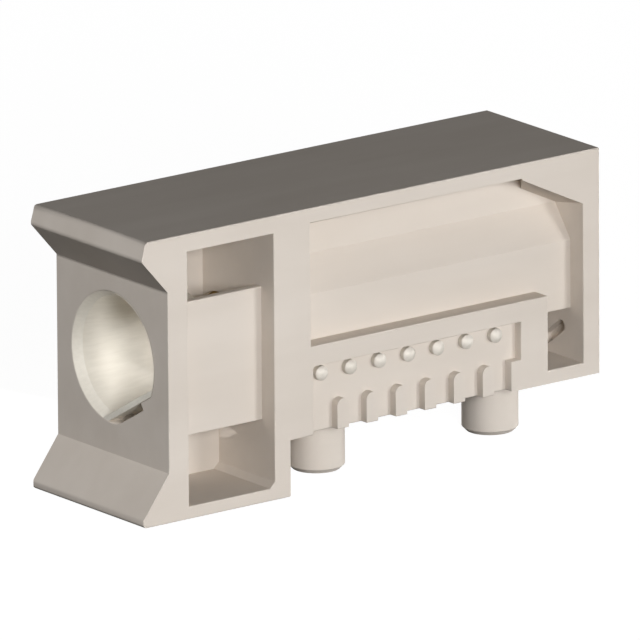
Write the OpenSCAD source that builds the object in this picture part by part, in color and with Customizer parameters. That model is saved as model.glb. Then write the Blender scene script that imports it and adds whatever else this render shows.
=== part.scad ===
/* [Housing] */
// Length from the nose of the lips to the rear face
body_len = 31.35; // [31:0.05:34]
// Width, which is one slot of the connector row
body_wid = 10; // [10:0.1:12]
// Height from the foot of the skirt to the top face
body_h = 16; // [15.9:0.1:18]
// Height of the board under the body, above the foot of the skirt
board_z = 3.2; // [3:0.1:3.4]
// Length of the skirt that hangs in front of the board's edge
skirt_len = 10; // [9.6:0.1:10.4]
// Small radius on the long outer edges
edge_r = 0.08; // [0.05:0.01:0.2]

/* [Mating mouth] */
// How far the two lead-in lips stand out of the end face
lip_reach = 1.75; // [1.2:0.05:2]
// Height at which the upper lip leaves the end face
upper_root_z = 12.95; // [12.9:0.05:13.3]
// Height of the upper lip's nose
upper_nose_z = 14.95; // [14.8:0.05:15.2]
// Height at which the lower lip leaves the end face
lower_root_z = 2.8; // [2.6:0.05:3.2]
// Height of the lower lip's nose
lower_nose_z = 0.45; // [0.35:0.05:0.8]

/* [Bore] */
// Height of the bore's axis
bore_z = 8.2; // [8.1:0.05:8.3]
// Radius of the mouth, where the keyed sleeve sits
mouth_r = 3.7; // [3.65:0.01:3.75]
// Radius that the mouth tapers down to
mouth_end_r = 3; // [2.98:0.01:3.05]
// Length of that taper
mouth_len = 4.75; // [4.5:0.05:5]
// Radius of the seat of the socket behind the chamber
seat_r = 2.42; // [2.4:0.01:2.45]
// Depth of that seat
seat_len = 7.8; // [7.6:0.1:9]
// Radius of the pin that the socket takes
pin_r = 1.8; // [1.7:0.05:1.8]

/* [Keyed sleeve] */
// Wall of the sleeve
sleeve_wall = 0.25; // [0.2:0.05:0.3]
// Distance from the axis to the inside of the key flat
flat_reach = 2.65; // [2.6:0.05:2.8]
// Thickness of the flat
flat_wall = 0.3; // [0.25:0.05:0.35]
// Direction of the key flat, counted from the back, anticlockwise as seen from the mating end
flat_angle = 240; // [225:5:250]

/* [Chamber] */
// Left and right ends of the open chamber between the sleeve and the socket
chamber_x = [3.1, 8.95];
// Foot and top of the chamber
chamber_z = [0.7, 15];
// Depth of its upper and lower half
chamber_depths = [6.4, 5.05];
// Front and back of the thin plate that covers its middle
plate_y = [1.15, 1.65];
// Foot and top of the plate
plate_z = [4.3, 11.8];

/* [Side recess] */
// Left and right ends of the long side recess
recess_x = [11.45, 30.2];
// Top of the recess
recess_top_z = 15.15; // [15.1:0.05:15.4]
// Depth of its upper floor and of its main panel
recess_depths = [2.5, 1.15];
// Foot of the upper floor and head of the panel, with a slope between them
recess_slope_z = [12.6, 10.75];
// Head of the terminal block, which is a ledge
ledge_z = 8.2; // [8.1:0.05:8.4]
// Right end of the terminal block
block_end_x = 27.75; // [27.5:0.05:28]

/* [Terminal block] */
// Number of contact positions
positions = 7; // [5:1:7]
// Pitch of the positions
pitch = 2; // [1.9:0.05:2]
// Place of the first contact along the body
first_contact_x = 12.35; // [12.3:0.05:12.45]
// Height of the contacts
contact_z = 6.5; // [6.4:0.05:6.5]
// Depth of the comb recess in the block
comb_depth = 0.55; // [0.5:0.05:0.6]
// Width of the round-topped ribs between the tails
rib_wid = 0.78; // [0.7:0.02:0.9]
// Height of the top of the ribs
rib_top_z = 4.9; // [4.7:0.05:5]

/* [Board pegs] */
// Radius of the two board pegs
peg_r = 1.57; // [1.5:0.01:1.6]
// Distance between them
peg_pitch = 12; // [11:0.5:12]
// Place of the first peg along the body and across it
peg_at = [14.65, 3.8];

/* [Hidden] */

over = 1;
fit_gap = 0.01;
bore_y = body_wid / 2;
face_x = lip_reach;
mouth_end_x = face_x + mouth_len;
relief_reach = flat_reach + 0.75;
relief_end = 1.15;
lead_in_slope = 0.62;
rim_land = 0.012;
groove_r = pin_r + 0.5;
seat_x = [chamber_x[1], chamber_x[1] + seat_len];
chamber_bevel = 0.35;
nose_x = 0.3;
nose_r = 0.25;
web_x = [26, 31];
web_head_z = 15.05;
web_fall = 0.487;
web_draft = 0.165;
web_rake = 0.736;
corner_pocket_z = [3.95, 6.85];
corner_pocket_depth = 5;
clip_slot_y = [2, 3.4];
clip_slot_z = [5.65, 4.6];
clip_slot_r = 0.34;
clip_slot_depth = 0.7;
comb_x = [11.6, 25.2, 25.88];
comb_z = [4.9, 7.05];
first_rib_x = first_contact_x + 1.3;
rib_front_y = 0.05;
stud_r = 0.41;
stud_post = 0.32;
stud_dome = 0.18;
shank_r = 0.3;
strip_y = [1.3, 1.8];
strip_x = [11.7, first_contact_x + (positions - 1) * pitch + 0.8];
strip_z = [5.6, 7.4];
tail_wid = 0.9;
tongue_x = [12, 14];
tongue_z = strip_z[1] - 0.4;
tongue_y = 2.71;
peg_bevel = 0.25;
socket_r = seat_r - 0.02;
socket_set_back = 0.2;
cage_seat_r = 2.12;
cage_r = cage_seat_r - fit_gap;
cage_wall = 0.12;
cage_slots = 10;
cage_slot_wid = 0.26;
throat_r = pin_r + 0.1;
cage_x = [seat_x[0] + 1.1, seat_x[0] + 7.1];
cage_ring = 0.6;
cage_waist = 2.8;

function unit(v) = v / norm(v);
function mouth_at(x) = mouth_r - (mouth_r - mouth_end_r) * (x - face_x) / mouth_len;
function turn(a, b) = let (d = b - a) d > 180 ? d - 360 : d < -180 ? d + 360 : d;
function rounded_corner(a, p, b, r, n) =
    let (u = unit(a - p), w = unit(b - p), half = acos(u * w) / 2,
         c = p + unit(u + w) * r / sin(half),
         s = p + u * r / tan(half) - c, e = p + w * r / tan(half) - c,
         from = atan2(s[1], s[0]), sweep = turn(from, atan2(e[1], e[0])))
    [for (i = [0:n]) c + r * [cos(from + sweep * i / n), sin(from + sweep * i / n)]];
// Points of an outline given as [x, y, corner radius]
function outline(pts, n = 4) =
    let (k = len(pts), at = function (i) let (p = pts[(i + k) % k]) [p[0], p[1]])
    [for (i = [0:k - 1])
        each pts[i][2] == 0 ? [at(i)] : rounded_corner(at(i - 1), at(i), at(i + 1), pts[i][2], n)];

// Puts the body's middle over the origin
module placed() {
    translate([-body_len / 2, -body_wid / 2, 0]) children();
}

// Stretches an outline in x and z from one depth to another
module across(y0, y1) {
    translate([0, y1, 0]) rotate([90, 0, 0]) linear_extrude(y1 - y0) children();
}

// Stretches an outline in y and z from one place along the body to another
module along(x0, x1) {
    translate([x0, 0, 0]) rotate([90, 0, 90]) linear_extrude(x1 - x0) children();
}

// A round bar on the bore's axis
module on_axis(x0, x1, r0, r1) {
    translate([x0, bore_y, bore_z]) rotate([0, 90, 0])
        cylinder(h = x1 - x0, r1 = r0, r2 = r1, $fn = 96);
}

module side_view() {
    polygon(outline([
        [0, 0, nose_r],
        [0, lower_nose_z, nose_r],
        [face_x, lower_root_z, 0],
        [face_x, upper_root_z, 0],
        [0, upper_nose_z, nose_r],
        [nose_x, body_h, nose_r],
        [body_len, body_h, edge_r],
        [body_len, board_z, edge_r],
        [skirt_len, board_z, 0],
        [skirt_len, 0, edge_r]
    ]));
}

module end_view() {
    polygon(outline([
        [0, 0, edge_r],
        [body_wid, 0, edge_r],
        [body_wid, body_h, edge_r],
        [0, body_h, edge_r]
    ]));
}

module plan_view() {
    polygon(outline([
        [0, 0, edge_r],
        [body_len, 0, edge_r],
        [body_len, body_wid, edge_r],
        [0, body_wid, edge_r]
    ]));
}

module body_block() {
    intersection() {
        across(0, body_wid) side_view();
        along(0, body_len) end_view();
        linear_extrude(body_h) plan_view();
    }
}

// Front view of the chamber, with a bevel along its lower right corner
module chamber_outline() {
    polygon([
        [chamber_x[0], chamber_z[0]],
        [chamber_x[1] - chamber_bevel, chamber_z[0]],
        [chamber_x[1], chamber_z[0] + chamber_bevel],
        [chamber_x[1], chamber_z[1]],
        [chamber_x[0], chamber_z[1]]
    ]);
}

// The open space that the pin crosses between the sleeve and the socket
module chamber() {
    difference() {
        union() {
            across(-over, chamber_depths[1]) chamber_outline();
            across(chamber_depths[1] - over, chamber_depths[0])
                translate([chamber_x[0], bore_z])
                square([chamber_x[1] - chamber_x[0], chamber_z[1] - bore_z]);
        }
        across(plate_y[0], plate_y[1])
            translate([chamber_x[0] - over, plate_z[0]])
            square([chamber_x[1] - chamber_x[0] + 2 * over, plate_z[1] - plate_z[0]]);
    }
    on_axis(mouth_end_x - over, chamber_x[1] + fit_gap, groove_r, groove_r);
}

// A gusset across the upper right corner, whose underside falls to the right and to the back
module corner_web() {
    hull() for (y = [-0.01, recess_depths[0] + 0.01]) {
        start = web_x[0] + max(y, 0) * web_rake;
        for (x = [start, web_x[1]]) {
            foot_z = web_head_z - web_fall * (x - web_x[0]) - web_draft * y;
            translate([x, y, foot_z]) cube([0.01, 0.01, recess_top_z + 0.2 - foot_z]);
        }
    }
}

module side_recess() {
    difference() {
        along(recess_x[0], recess_x[1])
            polygon([
                [-over, recess_top_z],
                [recess_depths[0], recess_top_z],
                [recess_depths[0], recess_slope_z[0]],
                [recess_depths[1], recess_slope_z[1]],
                [recess_depths[1], ledge_z],
                [-over, ledge_z]
            ]);
        corner_web();
    }
    along(block_end_x, recess_x[1])
        polygon([
            [-over, corner_pocket_z[0]],
            [corner_pocket_depth, corner_pocket_z[0]],
            [corner_pocket_depth, corner_pocket_z[1]],
            [recess_depths[1], corner_pocket_z[1]],
            [recess_depths[1], ledge_z + 0.1],
            [-over, ledge_z + 0.1]
        ]);
    clip_slot();
}

// A slanted blind slot in the far wall of the corner pocket
module clip_slot() {
    run = [clip_slot_y[1] - clip_slot_y[0], clip_slot_z[1] - clip_slot_z[0]];
    translate([recess_x[1] - 0.1, clip_slot_y[0], clip_slot_z[0]])
        rotate([90, 0, 90]) rotate(atan2(run[1], run[0])) linear_extrude(clip_slot_depth + 0.1) {
            translate([0, -clip_slot_r]) square([norm(run), 2 * clip_slot_r]);
            for (x = [0, norm(run)]) translate([x, 0]) circle(r = clip_slot_r, $fn = 32);
        }
}

module comb_recess() {
    across(-over, comb_depth)
        polygon([
            [comb_x[0], board_z - over],
            [comb_x[1], board_z - over],
            [comb_x[1], comb_z[0]],
            [comb_x[2], comb_z[0]],
            [comb_x[2], comb_z[1]],
            [comb_x[0], comb_z[1]]
        ]);
}

// Flat-fronted ribs with half round tops
module comb_ribs() {
    for (i = [0:positions - 2]) translate([first_rib_x + i * pitch, 0, 0])
        across(rib_front_y, comb_depth + 0.1) {
            translate([-rib_wid / 2, board_z]) square([rib_wid, rib_top_z - rib_wid / 2 - board_z]);
            translate([0, rib_top_z - rib_wid / 2]) circle(r = rib_wid / 2, $fn = 32);
        }
}

module board_peg() {
    cylinder(h = peg_bevel, r1 = peg_r - peg_bevel, r2 = peg_r, $fn = 64);
    translate([0, 0, peg_bevel]) cylinder(h = board_z - peg_bevel + 0.2, r = peg_r, $fn = 64);
}

module strip_slot() {
    across(strip_y[0] - fit_gap, strip_y[1] + fit_gap)
        translate([strip_x[0] - fit_gap, board_z - over])
        square([strip_x[1] - strip_x[0] + 2 * fit_gap, strip_z[1] + fit_gap + over - board_z]);
    across(strip_y[1], tongue_y + 0.2)
        translate([tongue_x[0] - fit_gap, tongue_z - fit_gap])
        square([tongue_x[1] - tongue_x[0] + 2 * fit_gap, strip_z[1] - tongue_z + 2 * fit_gap]);
}

module contact_holes(r, y0, y1) {
    for (i = [0:positions - 1])
        translate([first_contact_x + i * pitch, y0, contact_z]) rotate([-90, 0, 0])
            cylinder(h = y1 - y0, r = r, $fn = 24);
}

// Places a D outline's stretch on the bore's axis, with its flat in the key's direction
module keyed(x0, x1) {
    translate([0, bore_y, bore_z]) along(x0, x1) rotate(flat_angle - 180) children();
}

// A stretch of the tapered mouth, smaller by the given gap and cut off by one flat
module mouth_form(gap, reach, x0, x1) {
    intersection() {
        on_axis(x0, x1, mouth_at(x0) - gap, mouth_at(x1) - gap);
        keyed(x0, x1) translate([-reach, -mouth_r - over])
            square([reach + mouth_r + over, 2 * (mouth_r + over)]);
    }
}

// A relief under the key flat, open to the mouth and to the chamber, that ends short of the mouth's side
module key_relief() {
    intersection() {
        mouth_form(0, relief_reach, face_x - over, mouth_end_x);
        keyed(face_x - over, mouth_end_x) translate([-mouth_r - over, -mouth_r - over])
            square([mouth_r + over, mouth_r + over + relief_end]);
    }
}

module housing() {
    color("#d9d1c6") placed() {
        difference() {
            body_block();
            chamber();
            side_recess();
            comb_recess();
            mouth_form(0, flat_reach + flat_wall + fit_gap, face_x - over, mouth_end_x);
            key_relief();
            on_axis(seat_x[0] - over, seat_x[1], seat_r, seat_r);
            strip_slot();
            contact_holes(shank_r + fit_gap, comb_depth - 0.1, strip_y[1]);
        }
        comb_ribs();
        for (i = [0, 1]) translate([peg_at[0] + i * peg_pitch, peg_at[1], 0]) board_peg();
    }
}

// Its round wall thins to a fine rim at the mouth, and the flat keeps its full thickness
module keyed_sleeve() {
    rim_r = mouth_r - fit_gap - rim_land;
    color("#efe6d6") placed() difference() {
        mouth_form(fit_gap, flat_reach + flat_wall, face_x, mouth_end_x - fit_gap);
        mouth_form(fit_gap + sleeve_wall, flat_reach, face_x - over, mouth_end_x + over);
        intersection() {
            on_axis(face_x - 0.1, face_x + 0.7, rim_r + 0.1 * lead_in_slope, rim_r - 0.7 * lead_in_slope);
            keyed(face_x - over, face_x + over)
                translate([-flat_reach, -mouth_r]) square([flat_reach + mouth_r, 2 * mouth_r]);
        }
    }
}

module pin_socket() {
    front = seat_x[0] + socket_set_back;
    back = seat_x[1] - fit_gap;
    color("#c9a86a") placed() difference() {
        union() {
            on_axis(front, front + 0.2, socket_r - 0.2, socket_r);
            on_axis(front + 0.2, back - 0.4, socket_r, socket_r);
            on_axis(back - 0.4, back, socket_r, socket_r - 0.4);
        }
        on_axis(front - 0.1, front + 0.6, socket_r - 0.1, throat_r);
        on_axis(front, back - 0.7, throat_r, throat_r);
        on_axis(cage_x[0] - fit_gap, cage_x[1] + fit_gap, cage_seat_r, cage_seat_r);
    }
}

// One slat of the cage in side view, with its waist bowed in to the pin
module cage_section(r_in, r_ring) {
    polygon([
        [r_ring, 0],
        [r_ring + cage_wall, 0],
        [r_ring + cage_wall, cage_ring],
        [r_in + cage_wall, (cage_x[1] - cage_x[0] - cage_waist) / 2],
        [r_in + cage_wall, (cage_x[1] - cage_x[0] + cage_waist) / 2],
        [r_ring + cage_wall, cage_x[1] - cage_x[0] - cage_ring],
        [r_ring + cage_wall, cage_x[1] - cage_x[0]],
        [r_ring, cage_x[1] - cage_x[0]],
        [r_ring, cage_x[1] - cage_x[0] - cage_ring],
        [r_in, (cage_x[1] - cage_x[0] + cage_waist) / 2],
        [r_in, (cage_x[1] - cage_x[0] - cage_waist) / 2],
        [r_ring, cage_ring]
    ]);
}

module spring_cage() {
    color("#d8b25a") placed() translate([cage_x[0], bore_y, bore_z]) rotate([0, 90, 0])
        difference() {
            rotate_extrude($fn = 96) cage_section(pin_r, cage_r - cage_wall);
            for (i = [0:cage_slots - 1]) rotate(i * 360 / cage_slots)
                translate([0, -cage_slot_wid / 2, cage_ring])
                cube([cage_r + over, cage_slot_wid, cage_x[1] - cage_x[0] - 2 * cage_ring]);
        }
}

module bus_strip() {
    color("#c9cbd0") placed() difference() {
        union() {
            across(strip_y[0], strip_y[1]) {
                translate([strip_x[0], strip_z[0]])
                    square([strip_x[1] - strip_x[0], strip_z[1] - strip_z[0]]);
                for (i = [0:positions - 1])
                    translate([first_contact_x + i * pitch - tail_wid / 2, board_z])
                    square([tail_wid, strip_z[0] - board_z + 0.1]);
            }
            across(strip_y[0], tongue_y)
                translate([tongue_x[0], tongue_z])
                square([tongue_x[1] - tongue_x[0], strip_z[1] - tongue_z]);
        }
        contact_holes(shank_r, strip_y[0] - over, strip_y[1] + over);
    }
}

// A headed stud, whose shank goes through the strip
module contact_stud(i) {
    ball_r = (stud_r * stud_r + stud_dome * stud_dome) / (2 * stud_dome);
    color("#e8e4da") placed()
        translate([first_contact_x + (i - 1) * pitch, comb_depth, contact_z]) {
            intersection() {
                translate([0, ball_r - stud_dome - stud_post, 0]) sphere(r = ball_r, $fn = 64);
                rotate([90, 0, 0]) cylinder(h = stud_post + over, r = stud_r, $fn = 48);
            }
            rotate([-90, 0, 0]) cylinder(h = strip_y[1] - comb_depth, r = shank_r, $fn = 24);
        }
}

housing();
keyed_sleeve();
pin_socket();
spring_cage();
bus_strip();
for (i = [1:positions]) contact_stud(i);
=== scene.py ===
import math

import bmesh
import bpy
from mathutils import Matrix, Vector


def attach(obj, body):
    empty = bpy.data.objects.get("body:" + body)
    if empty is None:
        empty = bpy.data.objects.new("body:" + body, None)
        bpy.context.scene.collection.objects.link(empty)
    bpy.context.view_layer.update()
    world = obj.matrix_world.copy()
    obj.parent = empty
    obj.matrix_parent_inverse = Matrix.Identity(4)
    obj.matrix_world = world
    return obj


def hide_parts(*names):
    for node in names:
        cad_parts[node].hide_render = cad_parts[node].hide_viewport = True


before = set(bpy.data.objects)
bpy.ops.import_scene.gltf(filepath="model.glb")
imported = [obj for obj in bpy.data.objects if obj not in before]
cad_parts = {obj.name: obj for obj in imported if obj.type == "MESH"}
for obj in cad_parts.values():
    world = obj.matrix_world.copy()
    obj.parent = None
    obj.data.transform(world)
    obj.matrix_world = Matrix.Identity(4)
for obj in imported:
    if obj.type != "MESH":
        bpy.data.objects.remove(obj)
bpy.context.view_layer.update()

# Housing: one moulding with the two lead-in lips, the chamber, the side recess, the terminal block and the pegs.
# It is a glass-filled thermoplastic in a light beige grey, shot into a steel mould with a fine spark-eroded texture.
# The mould leaves every edge with a hair of radius, and the melt leaves faint clouds and flow lines along the body.
MM = 0.001


class Wire:
    """The output of a shader node. Sums and products with it add Math nodes."""

    def __init__(self, socket):
        self.socket = socket
        self.tree = socket.id_data

    def node(self, kind, settings=None, values=None, out=0):
        """Adds a node of any type: its settings first, then the values or the wires of its sockets."""
        made = self.tree.nodes.new("ShaderNode" + kind)
        for name, value in (settings or {}).items():
            if name == "stops":
                stops = made.color_ramp.elements
                while len(stops) < len(value):
                    stops.new(1)
                for stop, (position, colour) in zip(stops, value):
                    stop.position = position
                    stop.color = (*colour, 1)
            else:
                setattr(made, name, value)
        for name, value in (values or {}).items():
            if isinstance(value, Wire):
                self.tree.links.new(value.socket, made.inputs[name])
            else:
                made.inputs[name].default_value = value
        return Wire(made.outputs[out])

    def math(self, operation, other):
        return self.node("Math", {"operation": operation}, {0: self, 1: other})

    def __add__(self, other):
        return self.math("ADD", other)

    def __mul__(self, other):
        return self.math("MULTIPLY", other)

    __radd__ = __add__
    __rmul__ = __mul__

    def feed(self, name):
        """Leads the wire into a socket of the material's own shader."""
        self.tree.links.new(self.socket, self.tree.nodes["Principled BSDF"].inputs[name])


def new_finish(name, **constants):
    """A material with its constants set on the shader, and its Object coordinates as a wire."""
    finish = bpy.data.materials.new(name)
    finish.use_nodes = True
    tree = finish.node_tree
    for socket, value in constants.items():
        tree.nodes["Principled BSDF"].inputs[socket.replace("_", " ")].default_value = value
    return finish, Wire(tree.nodes.new("ShaderNodeTexCoord").outputs["Object"])


def grain(place, scale, stretch=(1, 1, 1), detail=2, roughness=0.5):
    """Noise with so many grains to the metre, drawn out by the stretch along each axis."""
    drawn = place.node("Mapping", {}, {"Vector": place, "Scale": [1 / s for s in stretch]})
    look = {"Vector": drawn, "Scale": scale, "Detail": detail, "Roughness": roughness}
    return place.node("TexNoise", {}, look)


def blend_colours(amount, first, second, low=0.35, high=0.65):
    """Goes from the first colour to the second while the amount goes from low to high."""
    return amount.node("ValToRGB", {"stops": [(low, first), (high, second)]}, {"Fac": amount})


def emboss(height, strength, depth):
    """Roughens the surface by a bump of that depth."""
    height.node("Bump", {}, {"Strength": strength, "Distance": depth, "Height": height}).feed("Normal")


def dress(piece, finish):
    """Gives a piece its one finish."""
    piece.data.materials.clear()
    piece.data.materials.append(finish)


moulded_beige, place = new_finish("moulded_beige", Specular_IOR_Level=0.0)
clouds = grain(place, 190, (2.5, 1, 1), detail=3)
flow = grain(place, 900, (9, 1, 1.4))
texture = grain(place, 12000, roughness=0.7)
blend_colours(clouds * 0.7 + flow * 0.3, (0.690, 0.624, 0.556), (0.742, 0.677, 0.610)).feed("Base Color")
(texture * 0.16 + flow * 0.06 + 0.6).feed("Roughness")
emboss(texture, strength=0.16, depth=0.02 * MM)

EDGE_R = 0.05 * MM
WELD, STRAIGHT = 0.0005 * MM, math.radians(0.3)
CORNER, CREASE, GENTLE_BEND = math.radians(50), math.radians(33), math.radians(20)
WIDE_FACE = 2 * MM * MM
FLAT = 0.01


def is_corner(edge):
    """A convex corner whose neighbouring edges leave room for the radius."""
    beside = [near for vert in edge.verts for near in vert.link_edges]
    return (
        edge.is_convex and edge.calc_face_angle() > CORNER
        and not any(near.calc_length() < 1.5 * EDGE_R for near in beside)
    )


def bends_gently(face):
    return any(FLAT < edge.calc_face_angle(0) < GENTLE_BEND for edge in face.edges)


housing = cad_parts["housing"]
moulding = bpy.data.objects.new("moulded_housing", bpy.data.meshes.new("moulded_housing"))
melt = bmesh.new()
melt.from_mesh(housing.data)
bmesh.ops.remove_doubles(melt, verts=melt.verts, dist=WELD)
bmesh.ops.dissolve_limit(melt, angle_limit=STRAIGHT, verts=melt.verts, edges=melt.edges)
corners = [edge for edge in melt.edges if is_corner(edge)]
rounded = bmesh.ops.bevel(
    melt, geom=corners, offset=EDGE_R, offset_type="OFFSET", segments=3, profile=0.5,
    affect="EDGES", clamp_overlap=False, material=-1,
)
rounding = set(rounded["faces"])
for face in melt.faces:
    face.smooth = face in rounding or (face.calc_area() < WIDE_FACE and bends_gently(face))
for edge in melt.edges:
    edge.smooth = edge.calc_face_angle(0) < CREASE
melt.to_mesh(moulding.data)
melt.free()
bpy.context.scene.collection.objects.link(moulding)
dress(moulding, moulded_beige)
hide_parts("housing")
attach(moulding, "root")

# Keyed sleeve: lines the round mouth and carries the flat that keys the mating plug.
# It is drawn from thin strip in warm matt tin plate, with its draw marks running along it.
drawn_tin, place = new_finish("drawn_tin", Metallic=0.08, Specular_IOR_Level=0.15)
marks = grain(place, 5200, (14, 1, 1), detail=3)
bloom = grain(place, 420)
blend_colours(bloom * 0.6 + marks * 0.4, (0.72, 0.68, 0.60), (0.82, 0.78, 0.70)).feed("Base Color")
(marks * 0.2 + bloom * 0.12 + 0.42).feed("Roughness")
emboss(marks, strength=0.12, depth=0.01 * MM)
dress(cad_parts["keyed_sleeve"], drawn_tin)

# Pin socket: the barrel behind the chamber, turned from brass bar and pressed in from the mouth.
# The lathe leaves fine rings round its axis, a little darker where the oil has stayed in them.
turned_brass, place = new_finish("turned_brass", Metallic=1.0)
along_axis = place.node("SeparateXYZ", {}, {"Vector": place})
rings = place.node("TexNoise", {"noise_dimensions": "1D"}, {"W": along_axis, "Scale": 9000, "Detail": 3})
stain = grain(place, 500, detail=3)
blend_colours(rings * 0.5 + stain * 0.5, (0.46, 0.32, 0.13), (0.66, 0.49, 0.23)).feed("Base Color")
(rings * 0.18 + stain * 0.16 + 0.2).feed("Roughness")
emboss(rings, strength=0.25, depth=0.01 * MM)
dress(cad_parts["pin_socket"], turned_brass)

# Spring cage: a strip of copper alloy slotted into ten slats, rolled up and snapped into the barrel.
# Its thin gold plate is smooth, with faint rub streaks drawn out along it over a gently varying tone.
gold_plate, place = new_finish("gold_plate", Metallic=1.0)
rub = grain(place, 3500, (10, 1, 1), detail=3)
tone = grain(place, 700)
blend_colours(rub * 0.5 + tone * 0.5, (0.72, 0.47, 0.15), (0.89, 0.64, 0.27)).feed("Base Color")
(rub * 0.2 + 0.14).feed("Roughness")
emboss(rub, strength=0.1, depth=0.008 * MM)
dress(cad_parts["spring_cage"], gold_plate)

# Bus strip: stamped from sheet behind the comb, with seven tails for the board and a tongue to the barrel.
# Matt tin covers it, with the roller's grain along the sheet and dull patches from handling.
rolled_tin, place = new_finish("rolled_tin", Metallic=1.0)
rolled = grain(place, 4200, (16, 1, 1), detail=3)
dull = grain(place, 330, detail=3)
blend_colours(rolled * 0.4 + dull * 0.6, (0.55, 0.54, 0.52), (0.74, 0.73, 0.70)).feed("Base Color")
(dull * 0.3 + rolled * 0.12 + 0.24).feed("Roughness")
emboss(rolled, strength=0.15, depth=0.01 * MM)
dress(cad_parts["bus_strip"], rolled_tin)

# Contact studs: seven headed studs on a 2 mm pitch, pushed through the strip and clenched behind it.
# Each is cold-headed wire in satin tin, pale and a little warm, with a soft crown from the header's die.
STUDS = 7
satin_tin, place = new_finish("satin_tin", Metallic=0.3, Specular_IOR_Level=0.2)
crown = grain(place, 6000, detail=3, roughness=0.6)
film = grain(place, 900)
blend_colours(crown * 0.4 + film * 0.6, (0.58, 0.54, 0.48), (0.70, 0.66, 0.60)).feed("Base Color")
(crown * 0.2 + film * 0.15 + 0.4).feed("Roughness")
emboss(crown, strength=0.15, depth=0.01 * MM)
for number in range(1, STUDS + 1):
    dress(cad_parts[f"contact_stud_{number}"], satin_tin)

# Studio: a white sweep that shows as white behind the object and keeps its soft shadow.
# Two disk lamps light the recessed side, one the back and one the rear, all near the horizon: the top stays dim.
# A spot reaches deep into the mouth, and a steep beam grazes past the upper lip onto the end wall and the lower lip.
PAPER_REACH, UNDER_FEET = 3, 0.02 * MM
PAPER_GLOW, AIR = 0.96, 0.015
CAMERA_RAY, GLOSSY_RAY, TRANSMISSION_RAY = 0, 3, 6


def seen_rays(wire):
    """One for a ray from the camera, from a gloss or through glass, and nought for the light on the object."""
    rays = [wire.node("LightPath", out=ray) for ray in (CAMERA_RAY, GLOSSY_RAY, TRANSMISSION_RAY)]
    return rays[0] + rays[1] + rays[2]


paper, place = new_finish(
    "paper", Base_Color=(0.15, 0.15, 0.15, 1), Roughness=1.0, Specular_IOR_Level=0.0, Emission_Strength=1.0,
)
(seen_rays(place) * PAPER_GLOW).feed("Emission Color")
sweep = bpy.data.objects.new("sweep", bpy.data.meshes.new("sweep"))
sheet = bmesh.new()
bmesh.ops.create_grid(sheet, x_segments=1, y_segments=1, size=PAPER_REACH)
bmesh.ops.translate(sheet, verts=sheet.verts, vec=(0, 0, -UNDER_FEET))
sheet.to_mesh(sweep.data)
sheet.free()
bpy.context.scene.collection.objects.link(sweep)
dress(sweep, paper)

studio = bpy.data.worlds.new("studio")
bpy.context.scene.world = studio
studio.use_nodes = True
backdrop = studio.node_tree.nodes["Background"]
backdrop.inputs["Color"].default_value = (1, 1, 1, 1)
strength = seen_rays(Wire(backdrop.outputs["Background"])) * (1 - AIR) + AIR
studio.node_tree.links.new(strength.socket, backdrop.inputs["Strength"])

# The point in the middle of the object that the camera and the disk lamps face
middle = Vector((0.144, -0.085, 7.856)) * MM


def disk_lamp(name, direction, power, size, distance=0.4):
    """A round lamp of that size in metres, facing the object from that direction."""
    light = bpy.data.lights.new(name, "AREA")
    light.shape = "DISK"
    light.size = size
    light.energy = power * distance * distance
    lamp = bpy.data.objects.new(name, light)
    lamp.location = middle + Vector(direction).normalized() * distance
    lamp.rotation_euler = Vector(direction).to_track_quat("Z", "Y").to_euler()
    bpy.context.scene.collection.objects.link(lamp)


disk_lamp("front_lamp", direction=(0.35, -1, 0.01), power=5.9, size=0.12)
disk_lamp("side_lamp", direction=(-0.4, -0.88, 0.27), power=5.9, size=0.1)
disk_lamp("back_lamp", direction=(0.2, 1, 0), power=12.5, size=0.1)
disk_lamp("rear_lamp", direction=(1, -0.05, 0), power=7, size=0.1)


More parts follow.
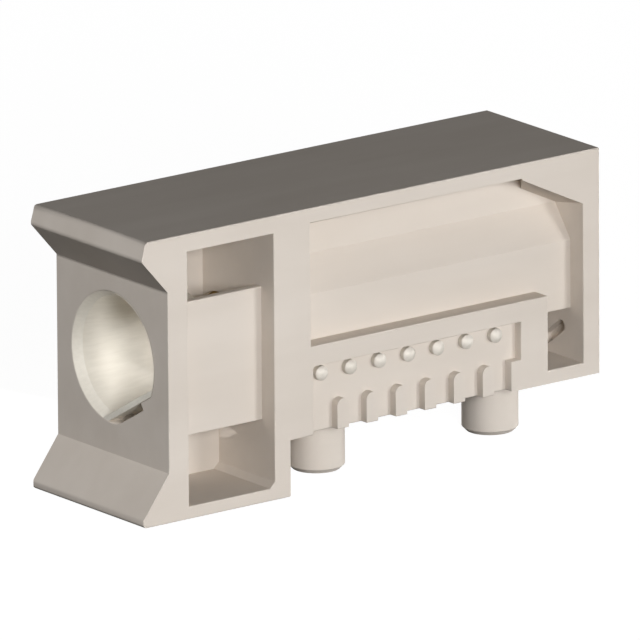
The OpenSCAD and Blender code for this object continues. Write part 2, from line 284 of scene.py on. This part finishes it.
def spot_lamp(name, target, direction, power, distance, spread, size, tilt=0.0, blend=0.0):
    """A spot on the line from the target in that direction, its cone tipped down by the tilt."""
    light = bpy.data.lights.new(name, "SPOT")
    light.energy = power
    light.spot_size = 2 * spread
    light.spot_blend = blend
    light.shadow_soft_size = size
    lamp = bpy.data.objects.new(name, light)
    lamp.location = target * MM + direction.normalized() * distance
    lamp.rotation_euler = (Matrix.Rotation(tilt, 3, "Y") @ direction).to_track_quat("Z", "Y").to_euler()
    bpy.context.scene.collection.objects.link(lamp)


MOUTH_PLACE, UPPER_NOSE = Vector((-13.925, -0.5, 8.1)), Vector((-15.45, 0, 16))
POOL_R, MOUTH_DISTANCE = 2 * MM, 0.3
spot_lamp(
    "mouth_spot", MOUTH_PLACE, direction=Vector((-0.75, -0.6, 0.22)), power=3.1,
    distance=MOUTH_DISTANCE, spread=math.atan(POOL_R / MOUTH_DISTANCE), size=0.0006, blend=1.0,
)
slant = math.radians(50)
spot_lamp(
    "lip_beam", UPPER_NOSE, direction=Vector((-math.cos(slant), 0.03, math.sin(slant))), power=1.85,
    distance=0.4, spread=math.radians(14), size=0.0002, tilt=math.radians(14),
)

# Camera: the view of the photograph, square to nothing and a little from above.
# A very long lens from far off keeps the body's long edges parallel.
azimuth, elevation, roll = math.radians(-37.38), math.radians(15.80), math.radians(-0.34)
lens, sensor, frame_width = 1200, 36, 34.87 * MM
away = Vector((
    math.sin(azimuth) * math.cos(elevation),
    -math.cos(azimuth) * math.cos(elevation),
    math.sin(elevation),
))
camera = bpy.data.objects.new("camera", bpy.data.cameras.new("camera"))
camera.data.lens = lens
camera.data.sensor_width = sensor
camera.data.clip_start = 0.01
camera.data.clip_end = 10
camera.rotation_mode = "QUATERNION"
camera.location = middle + away * (frame_width * lens / sensor)
camera.rotation_quaternion = away.to_track_quat("Z", "Y") @ Matrix.Rotation(roll, 3, "Z").to_quaternion()
bpy.context.scene.collection.objects.link(camera)
bpy.context.scene.camera = camera
bpy.context.scene.view_settings.view_transform = "Standard"
